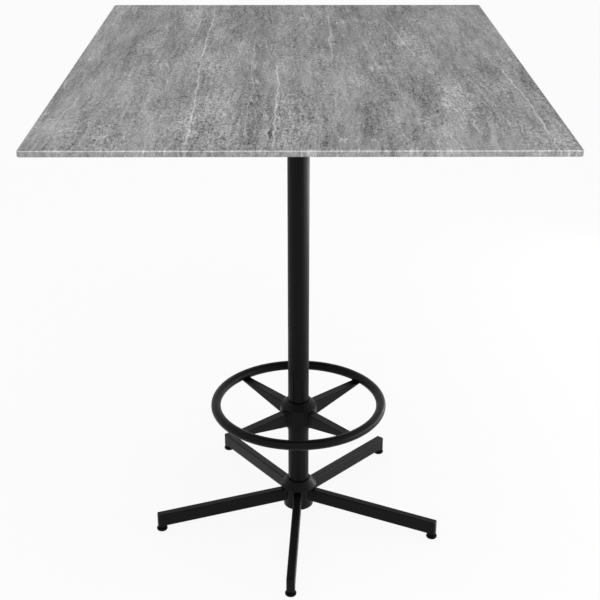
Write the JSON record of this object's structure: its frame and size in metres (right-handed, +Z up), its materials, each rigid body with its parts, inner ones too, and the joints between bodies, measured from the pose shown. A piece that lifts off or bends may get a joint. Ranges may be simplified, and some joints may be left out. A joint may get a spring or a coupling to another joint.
{
  "type": "pub table",
  "caption": "Bar-height pub table with a thin rectangular stone-look top on a round steel column, a footed star base and a round foot ring.",
  "frame": {"origin": "on the floor under the centre of the column", "axes": "+Z up, +Y along the length of the top away from the front, +X across its width to the right"},
  "size_m": [0.9144, 1.2192, 1.09],
  "materials": {
    "stone_look_laminate": "grey stone-look compact laminate, matt with a fine relief",
    "black_powder_coat": "satin black powder coat with a fine texture",
    "black_nylon": "black moulded nylon",
    "zinc_plated_steel": "zinc plated",
    "blackened_steel": "black oxide",
    "brass": "plain machined"
  },
  "bodies": {
    "table_frame": {"tabletop_panel": "stone_look_laminate", "top_threaded_inserts": "brass", "top_screws": "zinc_plated_steel", "top_socket": "black_powder_coat", "top_arm_back_right": "black_powder_coat", "top_arm_back_left": "black_powder_coat", "top_arm_front_left": "black_powder_coat", "top_arm_front_right": "black_powder_coat", "column_tube": "black_powder_coat", "tie_rod": "zinc_plated_steel", "tie_rod_washer": "zinc_plated_steel", "tie_rod_nut": "zinc_plated_steel", "base_hub": "black_powder_coat", "base_collar": "black_powder_coat", "leg_tube_front": "black_powder_coat", "leg_foot_front": "black_powder_coat", "glide_bush_front": "zinc_plated_steel", "leg_tube_front_right": "black_powder_coat", "leg_foot_front_right": "black_powder_coat", "glide_bush_front_right": "zinc_plated_steel", "leg_tube_back_right": "black_powder_coat", "leg_foot_back_right": "black_powder_coat", "glide_bush_back_right": "zinc_plated_steel", "leg_tube_back_left": "black_powder_coat", "leg_foot_back_left": "black_powder_coat", "glide_bush_back_left": "zinc_plated_steel", "leg_tube_front_left": "black_powder_coat", "leg_foot_front_left": "black_powder_coat", "glide_bush_front_left": "zinc_plated_steel", "foot_ring_tube": "black_powder_coat", "foot_ring_hub": "black_powder_coat", "foot_ring_set_screws": "blackened_steel", "foot_ring_spoke_back_right": "black_powder_coat", "foot_ring_spoke_back_left": "black_powder_coat", "foot_ring_spoke_front_left": "black_powder_coat", "foot_ring_spoke_front_right": "black_powder_coat"},
    "glide_pad_front": {"glide_pad_front": "black_nylon"},
    "glide_stem_front": {"glide_stem_front": "zinc_plated_steel"},
    "glide_pad_front_right": {"glide_pad_front_right": "black_nylon"},
    "glide_stem_front_right": {"glide_stem_front_right": "zinc_plated_steel"},
    "glide_pad_back_right": {"glide_pad_back_right": "black_nylon"},
    "glide_stem_back_right": {"glide_stem_back_right": "zinc_plated_steel"},
    "glide_pad_back_left": {"glide_pad_back_left": "black_nylon"},
    "glide_stem_back_left": {"glide_stem_back_left": "zinc_plated_steel"},
    "glide_pad_front_left": {"glide_pad_front_left": "black_nylon"},
    "glide_stem_front_left": {"glide_stem_front_left": "zinc_plated_steel"}
  },
  "joints": [
    {"name": "glide_slide_front", "type": "slide", "parent": "table_frame", "child": "glide_pad_front", "axis": [0, 0, -1], "range_m": [0, 0.01]},
    {"name": "glide_screw_front", "type": "hinge", "parent": "glide_pad_front", "child": "glide_stem_front", "pos_m": [-0.01853, -0.33148, 0.005], "axis": [0, 0, -1], "range_deg": [0, 2880]},
    {"name": "glide_slide_front_right", "type": "slide", "parent": "table_frame", "child": "glide_pad_front_right", "axis": [0, 0, -1], "range_m": [0, 0.01]},
    {"name": "glide_screw_front_right", "type": "hinge", "parent": "glide_pad_front_right", "child": "glide_stem_front_right", "pos_m": [0.30953, -0.12006, 0.005], "axis": [0, 0, -1], "range_deg": [0, 2880]},
    {"name": "glide_slide_back_right", "type": "slide", "parent": "table_frame", "child": "glide_pad_back_right", "axis": [0, 0, -1], "range_m": [0, 0.01]},
    {"name": "glide_screw_back_right", "type": "hinge", "parent": "glide_pad_back_right", "child": "glide_stem_back_right", "pos_m": [0.20983, 0.25728, 0.005], "axis": [0, 0, -1], "range_deg": [0, 2880]},
    {"name": "glide_slide_back_left", "type": "slide", "parent": "table_frame", "child": "glide_pad_back_left", "axis": [0, 0, -1], "range_m": [0, 0.01]},
    {"name": "glide_screw_back_left", "type": "hinge", "parent": "glide_pad_back_left", "child": "glide_stem_back_left", "pos_m": [-0.17985, 0.27907, 0.005], "axis": [0, 0, -1], "range_deg": [0, 2880]},
    {"name": "glide_slide_front_left", "type": "slide", "parent": "table_frame", "child": "glide_pad_front_left", "axis": [0, 0, -1], "range_m": [0, 0.01]},
    {"name": "glide_screw_front_left", "type": "hinge", "parent": "glide_pad_front_left", "child": "glide_stem_front_left", "pos_m": [-0.32099, -0.08481, 0.005], "axis": [0, 0, -1], "range_deg": [0, 2880]}
  ],
  "couplings": [
    {"joint": "glide_slide_front", "follows": "glide_screw_front", "m_per_rad": 0.00019894},
    {"joint": "glide_slide_front_right", "follows": "glide_screw_front_right", "m_per_rad": 0.00019894},
    {"joint": "glide_slide_back_right", "follows": "glide_screw_back_right", "m_per_rad": 0.00019894},
    {"joint": "glide_slide_back_left", "follows": "glide_screw_back_left", "m_per_rad": 0.00019894},
    {"joint": "glide_slide_front_left", "follows": "glide_screw_front_left", "m_per_rad": 0.00019894}
  ]
}
